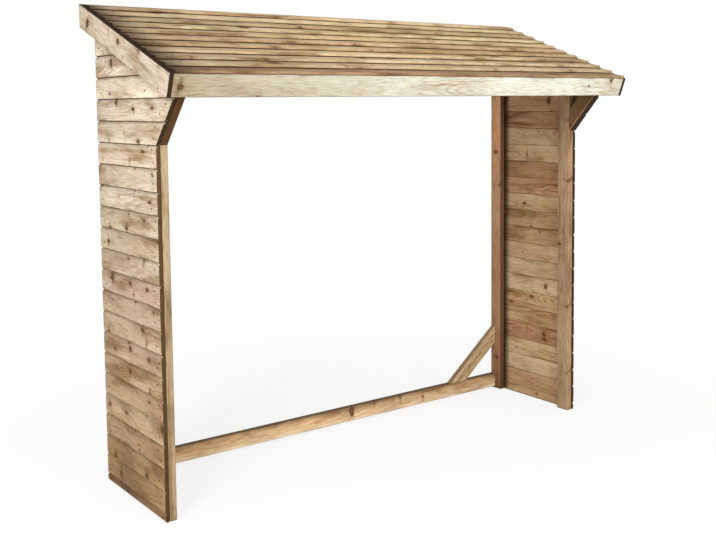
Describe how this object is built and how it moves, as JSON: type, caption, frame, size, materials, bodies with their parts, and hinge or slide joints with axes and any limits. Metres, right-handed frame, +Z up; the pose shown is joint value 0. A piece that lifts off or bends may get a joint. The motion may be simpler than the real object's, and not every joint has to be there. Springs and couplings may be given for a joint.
{
  "type": "timber log store",
  "caption": "Open timber log store with shiplap side panels that flare under the eaves, a lapped board roof falling to the front and a braced rail across the foot of the open back.",
  "frame": {"origin": "middle of the plan, on the ground", "axes": "+X to the right seen from the front, the front faces -Y, +Z up"},
  "size_m": [2.236, 0.763, 1.848],
  "materials": {
    "wall_board": "planed softwood shiplap, pressure treated, honey brown with knots",
    "batten": "planed softwood battens, pressure treated, reddish brown",
    "roof_board": "sawn softwood roof boards, pressure treated, brown with dark edges",
    "trim_board": "planed softwood trim, pressure treated, pale greenish cream",
    "nail": "dull steel nail and screw heads, darkened by the preservative"
  },
  "bodies": {
    "root": {"left_front_post": "batten", "left_rear_post": "batten", "left_front_strut": "batten", "left_rafter": "batten", "left_straight_boards": "wall_board", "left_flare_boards": "wall_board", "left_bargeboard": "trim_board", "right_front_post": "batten", "right_rear_post": "batten", "right_front_strut": "batten", "right_rafter": "batten", "right_straight_boards": "wall_board", "right_flare_boards": "wall_board", "right_bargeboard": "trim_board", "right_brace": "batten", "rear_bottom_rail": "batten", "rear_top_rail": "batten", "middle_rafter": "batten", "front_fascia": "trim_board", "roof_board_1": "roof_board", "roof_board_2": "roof_board", "roof_board_3": "roof_board", "roof_board_4": "roof_board", "roof_board_5": "roof_board", "roof_board_6": "roof_board", "roof_board_7": "roof_board", "roof_board_8": "roof_board", "roof_board_9": "roof_board", "roof_board_10": "roof_board", "roof_board_11": "roof_board"}
  },
  "joints": []
}
